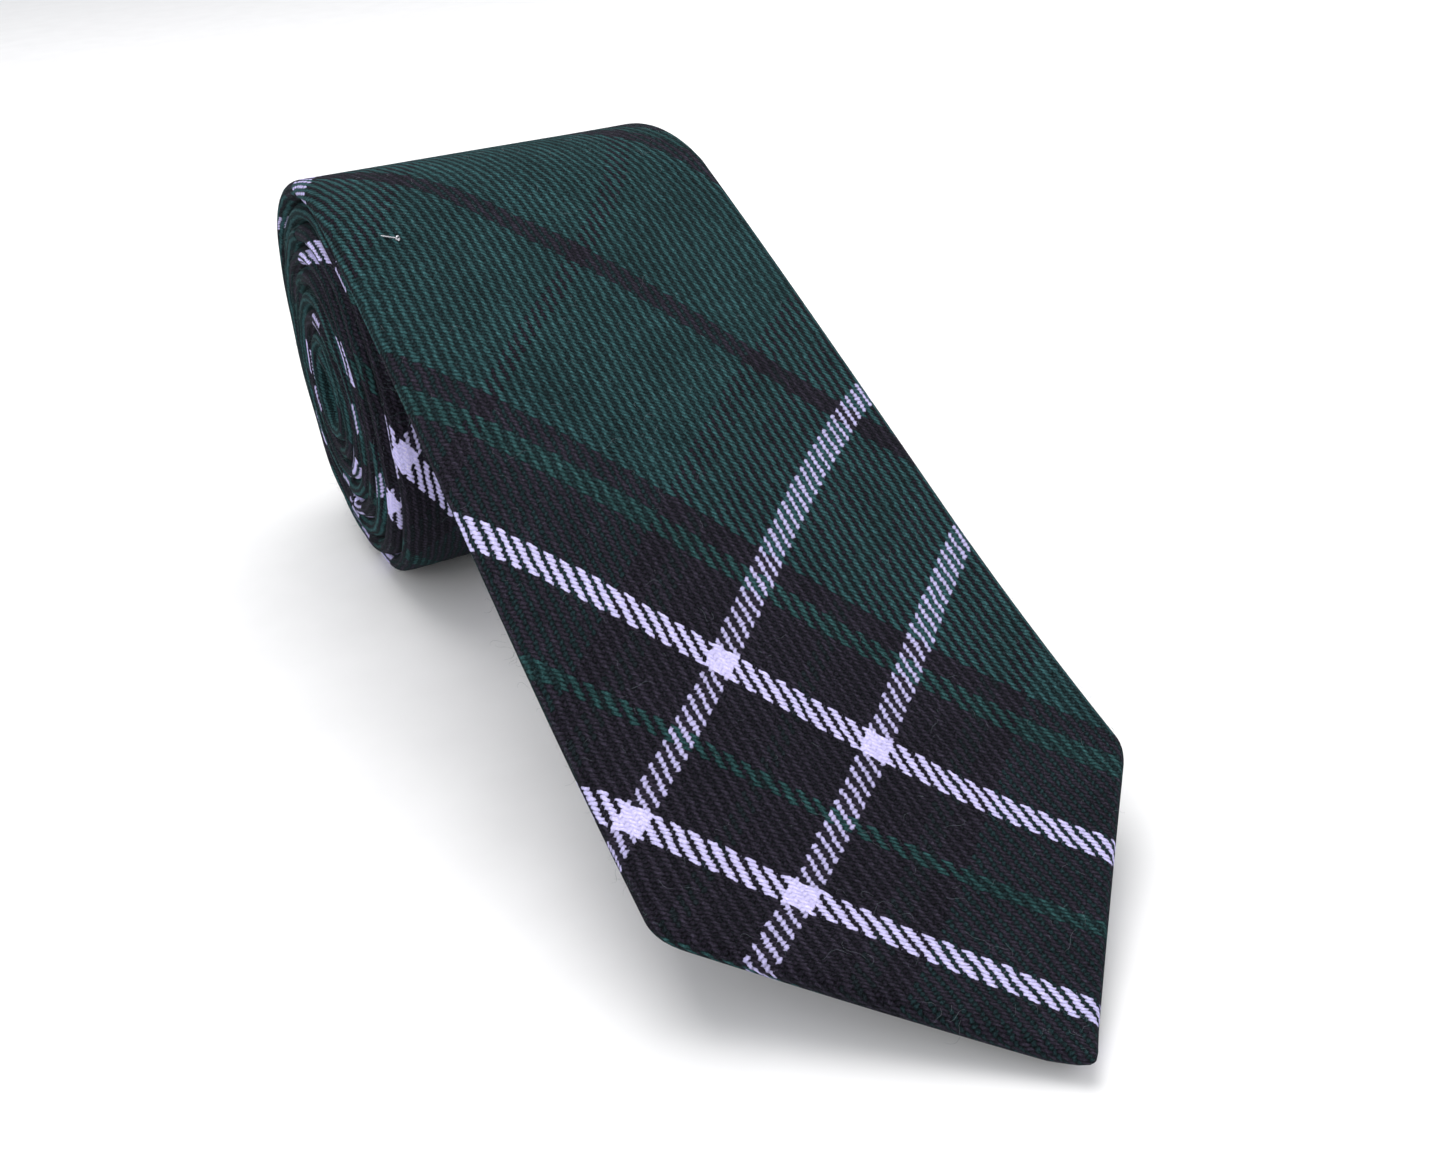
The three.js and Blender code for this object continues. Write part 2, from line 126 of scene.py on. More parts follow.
def place(s, depth):
    """(y, z) in millimetres of places at s along the tie and at a depth under its outer face."""
    y_blade = np.interp(s, LINE_S, LINE_Y)
    z_blade = np.interp(s, LINE_S, LINE_Z)
    slope = np.interp(s, LINE_S, LINE_SLOPE)
    y_roll, z_roll = roll_point(angle_at(s), depth)
    free = s < FREE_LENGTH
    y = np.where(free, y_blade + depth * np.sin(slope), y_roll)
    z = np.where(free, z_blade - depth * np.cos(slope), z_roll)
    return y, z


def outer_length(s):
    """Distance along the outer face, which is longer than s on the roll."""
    turned = angle_at(s) - LEAVE_ANGLE
    on_roll = FREE_LENGTH + MEAN_SQUASH * (ROLL_RADIUS * turned - SPIRAL * turned**2)
    return np.where(s < FREE_LENGTH, s, on_roll)


# ---- the tie's outline ---------------------------------------------------------------------------


def soft_min(a, b, softness):
    """The smaller of a and b, with the corner between them rounded off."""
    apart = np.clip(0.5 + 0.5 * (b - a) / softness, 0, 1)
    return b + (a - b) * apart - softness * apart * (1 - apart)


def width_at(s):
    corner = TAIL_END - TAIL_POINT_LENGTH
    stops = [POINT_LENGTH, FREE_LENGTH, NECK_FROM, NECK_TO, corner, TAIL_END]
    return np.interp(s, stops, [BLADE_WIDTH, ROLL_START_WIDTH, NECK_WIDTH, NECK_WIDTH, TAIL_WIDTH, 5])


def wander(s, seed, reach):
    """A slow, uneven drift along the tie, for edges that are never quite straight."""
    waves = np.random.default_rng(seed)
    total = 0 * s
    for length in (23.0, 41.0, 67.0, 118.0):
        total = total + np.sin(2 * math.pi * s / length + waves.uniform(0, 6.28)) * waves.uniform(0.5, 1)
    return reach * total / 2.6


def edges_at(s):
    """Left and right edges."""
    half = width_at(s) / 2
    toward_point = POINT_OFFSET * (1 - np.clip(s / POINT_LENGTH, 0, 1))
    rise = 0.5 * BLADE_WIDTH / POINT_LENGTH
    tip = 1.1 * np.sqrt(np.clip(s - POINT_WORN, 0, 1.2) / 1.2)
    slant = rise * np.maximum(s - POINT_WORN - 0.6, 0) + tip
    left_point = soft_min(slant, half + toward_point, 3.2) - toward_point
    right_point = soft_min(slant, half - toward_point, 2.5) + toward_point
    roll_left = np.interp(s, ROLL_LEFT_AT, ROLL_LEFT)
    corner = TAIL_END - TAIL_POINT_LENGTH
    tail_middle = roll_left + TAIL_WIDTH / 2
    roll_left = np.where(s > corner, tail_middle - half, roll_left)
    roll_left = roll_left + wander(s, 3, 0.4) * np.clip((s - 230) / 60, 0, 1)
    free = s < FREE_LENGTH
    left = np.where(free, -left_point, roll_left)
    right = np.where(free, right_point, roll_left + 2 * half)
    return left, right


def slit_at(s):
    """Half the space between the two back flaps."""
    closed = 0.35
    wide = BLADE_WIDTH / 2 - HEM_AT_CORNER
    from_end = TAIL_END - s
    blade = np.interp(s, [HEM_AT_CORNER, POINT_LENGTH, FLAPS_MEET_AT], [closed, wide, closed])
    tail = np.interp(from_end, [8, TAIL_POINT_LENGTH, TAIL_FLAPS_MEET], [closed, 11, closed])
    return np.maximum(blade, tail)


# ---- how the bias-cut cloth lies -----------------------------------------------------------------
# Threads are counted across (i) for one family and up (j) for the other, from a crossing of two
# white lines. The pull of the bias cut bends both a little.

THREADS_STAR = {"across": -31.1, "along": 416.5, "i": 273.0, "j": 326.0}


def ribs_at(u, v):
    """Threads between i and j: four to each rib of the twill, which runs nearly along the tie."""
    x = np.clip(u, -48, 48) / 40
    beyond = (u - np.clip(u, -48, 48)) * 2.0
    near_roll = 10.5 * np.clip((v - 175) / 40, 0, 1.2) ** 2
    return 28.05 + 94.4 * x + 1.2 * (v - 80) / 100 + 3.2 * x**2 - 2.0 * x**3 + beyond + near_roll


def threads_near(u, v):
    """On the free blade and the start of the roll."""
    u_in = np.clip(u, -46, 46)
    x = (u_in + 17) / 40
    y = (np.clip(v, -10, 240) - 100) / 100
    i = 10.8 + 54.6 * x + 92.2 * y + 7.7 * x**2 - 5.0 * x * y - 8.4 * y**2
    i = i - 2.2 * x**3 + 8.1 * x**2 * y + 5.1 * x * y**2 + 10.1 * y**3
    i = i + 1.45 * (u - u_in) + 1.15 * (v - np.clip(v, -10, 240))
    # Near the roll the right side is pulled back.
    i = i - 10.5 * (np.clip(v - 120, 0, 120) / 60) ** 2 * np.clip((u + 5) / 40, 0, 1.2)
    return i, i - ribs_at(u, v)


def threads_far(u, v):
    """Round the roll, where the pull is even."""
    across = u - THREADS_STAR["across"]
    along = v - THREADS_STAR["along"]
    slack = 15.0 * np.clip((v - 450) / 150, 0, 1)
    far_i = THREADS_STAR["i"] + 1.45 * across + 0.84 * along + slack
    return far_i, THREADS_STAR["j"] - 0.876 * across + 0.905 * along + slack


def threads_at(u, v, shift=(0.0, 0.0)):
    near_i, near_j = threads_near(u, v)
    far_i, far_j = threads_far(u, v)
    t = np.clip((v - 215) / 110, 0, 1)
    t = t * t * (3 - 2 * t)
    return near_i + (far_i - near_i) * t + shift[0], near_j + (far_j - near_j) * t + shift[1]


# ---- meshes --------------------------------------------------------------------------------------


def mesh_object(name, points, faces, material, uv=None, smooth=True):
    """A mesh from points in metres. uv holds one pair per point."""
    mesh = bpy.data.meshes.new(name)
    mesh.from_pydata(np.asarray(points).tolist(), [], [list(map(int, f)) for f in faces])
    mesh.update()
    if uv is not None:
        layer = mesh.uv_layers.new(name="threads")
        corner = np.empty(len(mesh.loops), int)
        mesh.loops.foreach_get("vertex_index", corner)
        layer.data.foreach_set("uv", np.asarray(uv, np.float32)[corner].ravel())
    if smooth:
        mesh.polygons.foreach_set("use_smooth", [True] * len(mesh.polygons))
        mesh.set_sharp_from_angle(angle=math.radians(62))
    mesh.materials.append(material)
    item = bpy.data.objects.new(name, mesh)
    bpy.context.scene.collection.objects.link(item)
    return item


def grid_faces(rows, columns, first=0, closed=False):
    """Quads over a grid of points, row by row. closed joins the last column to the first."""
    row = np.arange(rows - 1)[:, None] * columns
    column = np.arange(columns if closed else columns - 1)[None, :]
    after = (column + 1) % columns
    quads = np.stack([row + column, row + after, row + columns + after, row + columns + column], -1)
    return quads.reshape(-1, 4) + first


def thick_strip(name, outer, inner, uv, material):
    """A closed strip of cloth from two matching grids of points, its outer and inner faces."""
    rows, columns = outer.shape[:2]
    count = rows * columns
    points = np.concatenate([outer.reshape(-1, 3), inner.reshape(-1, 3)]) * MM
    top = grid_faces(rows, columns)
    under = grid_faces(rows, columns, count)[:, ::-1]
    edge = []
    for column in (0, columns - 1):
        a = np.arange(rows - 1) * columns + column
        b = a + columns
        quads = np.stack([a, b, b + count, a + count], -1)
        edge.append(quads if column == 0 else quads[:, ::-1])
    for row_start in (0, (rows - 1) * columns):
        a = np.arange(columns - 1) + row_start
        b = a + 1
        quads = np.stack([a, b, b + count, a + count], -1)
        edge.append(quads[:, ::-1] if row_start == 0 else quads)
    faces = np.concatenate([top, under, *edge])
    first, second, third, fourth = (points[faces[:, k]] for k in range(4))
    volume = (first * (np.cross(second, third) + np.cross(third, fourth))).sum()
    if volume < 0:  # the faces look inward
        faces = faces[:, ::-1]
    both = np.concatenate([uv.reshape(-1, 2), uv.reshape(-1, 2)])
    return mesh_object(name, points, faces, material, both)


def finish_piece(item, body, slot, *nodes):
    """Says which body a piece moves with and the part's nodes that it stands for. slot is not used."""
    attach(item, body)
    if nodes:
        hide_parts(*nodes)
    return item


def shell_section(s, front_step, flap_step, fold_points):
    """One cross-section per s of the cloth folded round both edges: for each of its points, how far
    across it is, its depth on the outer and on the inner face, and its place u on the cloth."""
    left, right = edges_at(s)
    middle, half = (left + right) / 2, (right - left) / 2
    fuller = 0.42 * np.clip((s - 240) / 60, 0, 1)
    near_point = np.sqrt(np.clip((s - POINT_WORN) / 4.0, 0.02, 1))
    near_tail_end = np.sqrt(np.clip((TAIL_END - s) / 4.0, 0.02, 1))
    thick = (THICKNESS + fuller) * near_point * near_tail_end
    radius = np.minimum(2.3 + 0.5 * np.clip((s - 175) / 40, 0, 1), 0.6 * half)
    cloth = np.minimum(CLOTH, 0.3 * thick)
    inner_radius = np.maximum(radius - cloth, 0.2 * radius)
    widest = float(half.max())
    slit = np.minimum(slit_at(s), np.maximum(half - radius - 1.0, 0.1 * half))
    n_front = int(2 * widest / front_step)
    n_flap = int(widest / flap_step)
    turn = np.linspace(0, math.pi, fold_points)
    fold_length = math.pi * np.sqrt((radius**2 + (thick / 2) ** 2) / 2)
    across, deep, across_in, deep_in, u = [], [], [], [], []

    def add(x, d, xi, di, along):
        for store, value in zip((across, deep, across_in, deep_in, u), (x, d, xi, di, along)):
            store.append(value)

    def add_fold(edge, inward, angles):
        """Round one edge. inward is 1 at the left edge and -1 at the right."""
        centre = edge + inward * radius
        for angle in angles:
            x = centre - inward * radius * math.sin(angle)
            xi = centre - inward * inner_radius * math.sin(angle)
            d = thick / 2 * (1 + math.cos(angle))
            di = thick / 2 + (thick / 2 - cloth) * math.cos(angle)
            add(x, d, xi, di, -inward * (flat + fold_length * (1 - angle / math.pi)))

    flat = half - radius
    for t in np.linspace(0, 1, n_flap)[:-1]:
        x = middle - slit + (left + radius - middle + slit) * t
        add(x, thick, x, thick - cloth, -flat - fold_length - (x - left - radius))
    add_fold(left, 1, turn)
    for t in np.linspace(0, 1, n_front)[1:-1]:
        x = left + radius + 2 * flat * t
        add(x, 0 * x, x, cloth, x - middle)
    add_fold(right, -1, turn[::-1])
    for t in np.linspace(1, 0, n_flap)[1:]:
        x = middle + slit + (right - radius - middle - slit) * t
        add(x, thick, x, thick - cloth, flat + fold_length + (right - radius - x))
    return [np.stack(value, 1) for value in (across, deep, across_in, deep_in, u)]


def ripple(s, u, deep):
    """Small unevenness of soft cloth over its lining. The back flaps have their own."""
    front = np.sin(s / 17.0 + u / 31.0) + 0.8 * np.sin(s / 29.0 - u / 12.0 + 1.3)
    front = front + 0.6 * np.sin(u / 8.5 + s / 55.0)
    back = np.sin(s / 13.0 - u / 19.0 + 2.0) + 0.7 * np.sin(s / 31.0 + u / 9.0)
    share = np.clip(deep / THICKNESS, 0, 1)
    return 0.07 * front * (1 - share) - 0.06 * back * share


def shell_piece(name, start, end, step, spacing, material, shift=(0.0, 0.0)):
    rows = max(2, int((end - start) / step) + 1)
    s = np.linspace(start, end, rows)
    across, deep, across_in, deep_in, u = shell_section(s, spacing, spacing * 1.5, 11)
    along = np.broadcast_to(s[:, None], across.shape)
    uneven = ripple(along, u, deep)
    y, z = place(along, deep + uneven)
    yi, zi = place(along, deep_in + uneven)
    outer = np.stack([across, y, z], -1)
    inner = np.stack([across_in, yi, zi], -1)
    i, j = threads_at(u, outer_length(along), shift)
    item = thick_strip(name, outer, inner, np.stack([i, j], -1), material)
    return item


# ---- materials -----------------------------------------------------------------------------------


class Nodes:
    """Short names for the nodes of one material."""

    def __init__(self, name):
        self.material = bpy.data.materials.new(name)
        self.material.use_nodes = True
        self.tree = self.material.node_tree
        self.shader = self.tree.nodes["Principled BSDF"]

    def link(self, value, socket):
        if isinstance(value, (int, float, tuple)):
            socket.default_value = value
        else:
            self.tree.links.new(value, socket)

    def math(self, operation, a, b=0.0, c=0.0):
        node = self.tree.nodes.new("ShaderNodeMath")
        node.operation = operation
        for value, socket in zip((a, b, c), node.inputs):
            self.link(value, socket)
        return node.outputs[0]

    def add(self, a, b):
        return self.math("ADD", a, b)

    def sub(self, a, b):
        return self.math("SUBTRACT", a, b)

    def mul(self, a, b):
        return self.math("MULTIPLY", a, b)

    def uv(self, name):
        node = self.tree.nodes.new("ShaderNodeUVMap")
        node.uv_map = name
        return self.split(node.outputs[0])[:2]

    def split(self, vector):
        node = self.tree.nodes.new("ShaderNodeSeparateXYZ")
        self.link(vector, node.inputs[0])
        return tuple(node.outputs)

    def red(self, colour):
        node = self.tree.nodes.new("ShaderNodeSeparateColor")
        self.link(colour, node.inputs[0])
        return node.outputs[0]

    def place(self):
        return self.tree.nodes.new("ShaderNodeTexCoord").outputs["Object"]

    def join(self, x, y, z=0.0):
        node = self.tree.nodes.new("ShaderNodeCombineXYZ")
        for value, socket in zip((x, y, z), node.inputs):
            self.link(value, socket)
        return node.outputs[0]

    def noise(self, vector, scale, detail=2.0, roughness=0.5):
        node = self.tree.nodes.new("ShaderNodeTexNoise")
        self.link(vector, node.inputs["Vector"])
        node.inputs["Scale"].default_value = scale
        node.inputs["Detail"].default_value = detail
        node.inputs["Roughness"].default_value = roughness
        return node.outputs["Fac"]

    def speck(self, vector):
        node = self.tree.nodes.new("ShaderNodeTexWhiteNoise")
        node.noise_dimensions = "3D"
        self.link(vector, node.inputs["Vector"])
        return node.outputs["Value"]

    def range(self, value, low, high, to_low, to_high):
        node = self.tree.nodes.new("ShaderNodeMapRange")
        for v, socket in zip((value, low, high, to_low, to_high), node.inputs):
            self.link(v, socket)
        return node.outputs[0]

    def mix(self, share, a, b, blend="MIX"):
        node = self.tree.nodes.new("ShaderNodeMix")
        node.data_type = "RGBA"
        node.blend_type = blend
        self.link(share, node.inputs["Factor"])
        self.link(a, node.inputs["A"])
        self.link(b, node.inputs["B"])
        return node.outputs["Result"]

    def bands(self, value, stops):
        """A colour for each stretch of value, from 0 to 1."""
        ramp = self.tree.nodes.new("ShaderNodeValToRGB")
        ramp.color_ramp.interpolation = "CONSTANT"
        elements = ramp.color_ramp.elements
        elements[0].position, elements[0].color = stops[0]
        elements[1].position, elements[1].color = stops[1]
        for position, colour in stops[2:]:
            elements.new(position).color = colour
        self.link(value, ramp.inputs[0])
        return ramp.outputs[0]

    def bump(self, height, distance, strength=1.0):
        node = self.tree.nodes.new("ShaderNodeBump")
        node.inputs["Distance"].default_value = distance
        node.inputs["Strength"].default_value = strength
        self.link(height, node.inputs["Height"])
        self.link(node.outputs[0], self.shader.inputs["Normal"])

    def set(self, **sockets):
        for name, value in sockets.items():
            self.link(value, self.shader.inputs[name.replace("_", " ")])
        return self.material


BLACK = (0.0150, 0.0122, 0.0195, 1)
GREEN = (0.0165, 0.0475, 0.0515, 1)
FAINT = (0.0130, 0.0375, 0.0390, 1)  # narrow green bands, dulled by the black beside them
SHADED_GREEN = (0.0130, 0.0285, 0.0325, 1)  # the green of the threads that lie lower, painted darker as their shade
SHADED_NARROW_GREEN = (0.0125, 0.0175, 0.0215, 1)  # narrow bands of those, with the same painted shade
WHITE = (0.60, 0.56, 0.90, 1)

# Threads of each colour from one turning point of the sett to the other; the ends are half bands.
SETT_ACROSS = [
    (2.3, FAINT),
    (21.5, BLACK),
    (7.4, WHITE),
    (22.3, BLACK),
    (7, FAINT),
    (8, BLACK),
    (64, GREEN),
    (4, BLACK),
]
SETT_UP = [
    (2, SHADED_NARROW_GREEN),
    (12.9, BLACK),
    (6.2, WHITE),
    (11.4, BLACK),
    (5.5, SHADED_NARROW_GREEN),
    (5.5, BLACK),
    (44, SHADED_GREEN),
    (3, BLACK),
]
WHITE_AT = 2  # where the white band stands in both
RAGGED, UNEVEN = 1.05, 1.8  # how far fibres and whole threads stray, in threads


def sett_colour(n, thread, sett):
    """Colour of a whole thread by its number. The white band's middle is thread 0."""
    total = sum(width for width, _ in sett)
    before = sum(width for width, _ in sett[:WHITE_AT]) + sett[WHITE_AT][0] / 2
    inside = n.math("PINGPONG", n.add(n.add(thread, 0.5), before), total)
    stops, at = [], 0.0
    for width, colour in sett:
        stops.append((at / total, colour))
        at += width
    return n.bands(n.mul(inside, 1 / total), stops)


def strayed(n, own, other, fibre_seed, thread_seed):
    """Thread numbers, a little uneven. own counts across the threads and other runs along them."""
    fibres = n.sub(n.noise(n.join(own, other, fibre_seed), 1.9, 4.0, 0.75), 0.5)
    threads = n.sub(n.noise(n.join(own, n.mul(other, 2.0), thread_seed), 0.16), 0.5)
    return n.add(n.add(own, n.mul(fibres, RAGGED)), n.mul(threads, UNEVEN))


def yarn(n, along, across, rise, body):
    """Height of a thread that arches over two others and is round across."""
    arch = n.math("COSINE", n.mul(along, math.pi / 2))
    side = n.math("DIVIDE", across, 0.515)
    round_ = n.math("SQRT", n.math("MAXIMUM", n.sub(1.0, n.mul(side, side)), 0.0))
    return n.add(n.mul(arch, rise), n.mul(round_, body))


def twill(n, i, j, thread_i, thread_j):
    """Two over and two under: heights of the first and of the second family of threads."""
    along_first = n.math("WRAP", n.sub(j, thread_i), 2.0, -2.0)
    along_second = n.math("WRAP", n.sub(i, n.add(thread_j, 3.0)), 2.0, -2.0)
    across_first = n.sub(n.math("FRACT", i), 0.5)
    across_second = n.sub(n.math("FRACT", j), 0.5)
    wobble = n.sub(n.noise(n.join(i, j), 0.9), 0.5)
    first = n.add(yarn(n, along_first, across_first, 0.46, 0.62), n.mul(wobble, 0.35))
    second = n.add(yarn(n, along_second, across_second, 0.46, 0.58), -0.34)
    return first, second


def dye(n, i, j, thread_i, thread_j, on_top):
    """Every thread has its own depth of dye, and fibres streak each one lengthwise."""
    own = n.mix(on_top, n.speck(n.join(7.0, thread_j, 1.0)), n.speck(n.join(thread_i, 3.0, 1.0)))
    streak_first = n.noise(n.join(n.mul(i, 5.0), n.mul(n.add(j, n.mul(i, 1.2)), 1.1)), 1.0, 3.0, 0.6)
    streak_second = n.noise(n.join(n.mul(n.add(i, n.mul(j, 1.2)), 1.1), n.mul(j, 5.0), 4.0), 1.0, 3.0, 0.6)
    streak = n.mix(on_top, streak_second, streak_first)
    heather = n.noise(n.join(n.mul(i, 0.045), n.mul(j, 0.06)), 1.0, 3.0)
    tone = n.mul(n.range(own, 0.0, 1.0, 0.86, 1.14), n.range(streak, 0.3, 0.7, 0.52, 1.52))
    return n.mul(tone, n.range(heather, 0.3, 0.7, 0.84, 1.16))


def painted_thread_shading(n, tone, height, pale, colour_first, colour_second):
    """Painted shade and light by thread height: the hollows between threads are painted dark and the thread
    tops lighter, but white threads pass light on to one another, so their hollows are painted less dark.
    """
    deep = n.math("POWER", n.range(height, 0.05, 1.05, 0.0, 1.0), 1.6)
    dark_painted_shade = n.math("MULTIPLY_ADD", deep, 1.75, 0.10)
    white_painted_shade = n.range(height, 0.1, 0.95, 0.42, 1.12)
    both = n.mix(1.0, colour_first, colour_second, "MULTIPLY")
    crossing = n.range(n.red(both), 0.02, 0.3, 0.0, 1.0)
    white_painted_shade = n.add(n.mul(white_painted_shade, n.sub(1.0, n.mul(crossing, 0.55))), n.mul(crossing, 0.72))
    calm = n.add(n.mul(tone, 0.25), 0.75)
    dark_share = n.mul(n.mul(tone, dark_painted_shade), n.sub(1.0, pale))
    return n.add(dark_share, n.mul(n.mul(calm, white_painted_shade), pale))


def tartan():
    """Wool twill, woven in the setts above."""
    n = Nodes("tartan_wool")
    smooth_i, smooth_j = n.uv("threads")
    i = strayed(n, smooth_i, smooth_j, 0.0, 8.0)
    j = strayed(n, smooth_j, smooth_i, 5.0, 3.0)
    thread_i, thread_j = n.math("FLOOR", i), n.math("FLOOR", j)
    first, second = twill(n, i, j, thread_i, thread_j)
    on_top = n.math("GREATER_THAN", first, second)
    height = n.math("MAXIMUM", first, second)

    colour_first = sett_colour(n, thread_i, SETT_ACROSS)
    colour_second = sett_colour(n, thread_j, SETT_UP)
    colour = n.mix(on_top, colour_second, colour_first)
    pale = n.range(n.red(colour), 0.05, 0.4, 0.0, 1.0)
    grain = n.noise(n.join(smooth_i, n.mul(smooth_j, 1.15), 2.0), 1.7, 5.0, 0.85)
    tone = dye(n, i, j, thread_i, thread_j, on_top)
    tone = n.mul(tone, n.range(grain, 0.33, 0.67, 0.10, 1.95))
    # Painted shade in the hollows between threads and painted light on their tops, by thread height.
    tone = painted_thread_shading(n, tone, height, pale, colour_first, colour_second)
    colour = n.mix(1.0, colour, n.join(tone, tone, tone), "MULTIPLY")

    # Pale fibres lie over the dark threads, and this pale haze is also painted sheen on their fuzz.
    lint = n.noise(n.join(n.mul(smooth_i, 2.3), n.mul(smooth_j, 2.9), 9.0), 1.0, 4.0, 0.8)
    lint_and_painted_sheen = n.mul(n.range(lint, 0.52, 0.74, 0.0, 0.50), n.sub(1.0, pale))
    colour = n.mix(lint_and_painted_sheen, colour, (0.050, 0.072, 0.082, 1))

    fuzz = n.noise(n.join(n.mul(i, 3.0), n.mul(j, 3.0)), 1.0, 3.0, 0.7)
    n.bump(n.add(height, n.mul(fuzz, 0.55)), 0.00030, 0.8)
    return n.set(
        Base_Color=colour,
        Roughness=0.95,
        Specular_IOR_Level=0.03,
        Sheen_Weight=0.035,
        Sheen_Roughness=0.4,
        Sheen_Tint=(0.62, 0.80, 0.86, 1),
    )


def woven(name, colour, light, spacing, roughness, sheen=0.0, depth=0.00006):
    """A plain weave or satin over places in the part, with threads of that spacing in metres."""
    n = Nodes(name)
    x, y = (n.mul(part, 1 / spacing) for part in n.split(n.place())[:2])
    weave = n.mul(n.math("SINE", n.mul(x, math.pi)), n.math("SINE", n.mul(y, math.pi)))
    threads = n.range(weave, -1.0, 1.0, 0.0, 1.0)
    blotch = n.noise(n.place(), 180.0, 4.0)
    shade = n.range(n.add(n.mul(threads, 0.6), n.mul(blotch, 0.8)), 0.2, 1.2, 0.0, 1.0)
    n.bump(n.add(weave, n.mul(blotch, 0.5)), depth)
    return n.set(Base_Color=n.mix(shade, colour, light), Roughness=roughness, Sheen_Weight=sheen)


def twisted_thread(name, colour, light):
    """Sewing thread, with its plies running round it."""
    n = Nodes(name)
    x, y, z = n.split(n.place())
    slant = n.add(n.add(n.mul(x, 9000.0), n.mul(y, 7000.0)), n.mul(z, 8000.0))
    ply = n.math("SINE", slant)
    shade = n.range(n.add(ply, n.noise(n.place(), 2500.0)), -1.0, 1.6, 0.0, 1.0)
    n.bump(ply, 0.00004)
    return n.set(Base_Color=n.mix(shade, colour, light), Roughness=0.7, Sheen_Weight=0.2)


def polished_steel():
    n = Nodes("pin_steel")
    scratch = n.noise(n.place(), 5200.0, 4.0, 0.7)
    n.bump(scratch, 0.000006, 0.5)
    shade = n.range(scratch, 0.3, 0.7, 0.0, 1.0)
    return n.set(
        Base_Color=n.mix(shade, (0.46, 0.46, 0.50, 1), (0.64, 0.64, 0.68, 1)),
        Metallic=1.0,
        Roughness=n.range(scratch, 0.3, 0.7, 0.20, 0.32),
    )


WOOL = tartan()
CANVAS = woven("interlining_canvas", (0.42, 0.39, 0.32, 1), (0.66, 0.62, 0.53, 1), 0.0007, 0.9, 0.2, 0.00012)
LINING = woven("tipping_lining", (0.006, 0.007, 0.010, 1), (0.020, 0.022, 0.030, 1), 0.00022, 0.42, 0.1)
LABEL = woven("label_satin", (0.010, 0.013, 0.020, 1), (0.030, 0.035, 0.050, 1), 0.00025, 0.38, 0.1)
CARE = woven("care_label_satin", (0.66, 0.65, 0.60, 1), (0.82, 0.81, 0.77, 1), 0.00025, 0.45, 0.1)
THREAD = twisted_thread("sewing_thread", (0.006, 0.014, 0.014, 1), (0.030, 0.055, 0.052, 1))
STEEL = polished_steel()

# ---- the cloth -----------------------------------------------------------------------------------

SEAM = 0.5
# The neck and the tail are cut from other places on the cloth: threads by which their check is shifted.
NECK_SHIFT, TAIL_SHIFT = (31.0, -12.0), (-44.0, 20.0)


# The blade's cloth is one piece that goes over from the roll to the blade.
blade_cloth = shell_piece("blade_cloth", POINT_WORN + 0.35, PIECE_ENDS_AT, 0.9, 0.9, WOOL)
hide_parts("front_blade_shell")
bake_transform(blade_cloth)

roll_cloth = shell_piece("roll_cloth", PIECE_ENDS_AT, FRONT_SEAM_AT - SEAM, 1.3, 1.5, WOOL)
finish_piece(roll_cloth, "roll", "tartan_wool", "front_roll_shell")

neck_ends = (FRONT_SEAM_AT + SEAM, TAIL_SEAM_AT - SEAM)
neck_cloth = shell_piece("neck_cloth", *neck_ends, 1.6, 1.6, WOOL, NECK_SHIFT)
finish_piece(neck_cloth, "roll", "tartan_wool", "neck_shell")

tail_cloth = shell_piece("tail_cloth", TAIL_SEAM_AT + SEAM, TAIL_END - 0.3, 1.6, 1.6, WOOL, TAIL_SHIFT)
finish_piece(tail_cloth, "roll", "tartan_wool", "tail_shell")

# ---- layers inside -------------------------------------------------------------------------------


def band_piece(name, stops, inset, material, body, slot, node, step=2.5):
    """A flat inner layer. stops gives (s, top depth, bottom depth)."""
    at, tops, bottoms = (np.array(column, float) for column in zip(*stops))
    s = np.linspace(at[0], at[-1], max(3, int((at[-1] - at[0]) / step)))
    left, right = edges_at(s)
    room = np.maximum((right - left) / 2 - inset, 0.8)
    middle = (left + right) / 2
    columns = 25
    share = np.linspace(-1, 1, columns)[None, :]
    across = middle[:, None] + room[:, None] * share
    along = np.broadcast_to(s[:, None], across.shape)
    thin = 1 - 0.6 * np.abs(share) ** 12
    top, bottom = np.interp(s, at, tops)[:, None], np.interp(s, at, bottoms)[:, None]
    middle_depth, half_depth = (top + bottom) / 2, (bottom - top) / 2 * thin
    outer = np.stack([across, *place(along, middle_depth - half_depth)], -1)
    inner = np.stack([across, *place(along, middle_depth + half_depth)], -1)
    item = thick_strip(name, outer, inner, np.stack([across, along], -1), material)
    return finish_piece(item, body, slot, node)


INSET = 2.4  # how far the inner layers stay inside the folds
# Depths under the outer face: canvas top, canvas bottom over and beyond the lining, lining top.
TOP, THIN, FULL, UNDER = 1.25, 1.95, 2.55, 2.2
LINING_BOTTOM = FULL - 0.02
TIPPING_FROM, TIPPING_END = 9.0, 118.0
TAIL_TIPPING_FROM, TAIL_TIPPING_END = TAIL_END - 59, TAIL_END - 10
canvas = (INSET, CANVAS)
band_piece(
    "blade_canvas",
    [
        (TIPPING_FROM, TOP, THIN),
        (TIPPING_END + 1, TOP, THIN),
        (TIPPING_END + 2, TOP, FULL),
        (FOLD_AT - 0.3, TOP, FULL),
    ],
    *canvas,
    "front_blade",
    "interlining_canvas",
    "front_blade_interlining",
)
band_piece(
    "roll_canvas",
    [(FOLD_AT + 0.3, TOP, FULL), (NECK_FROM, TOP, FULL)],
    *canvas,
    "roll",
    "interlining_canvas",
    "front_roll_interlining",
)
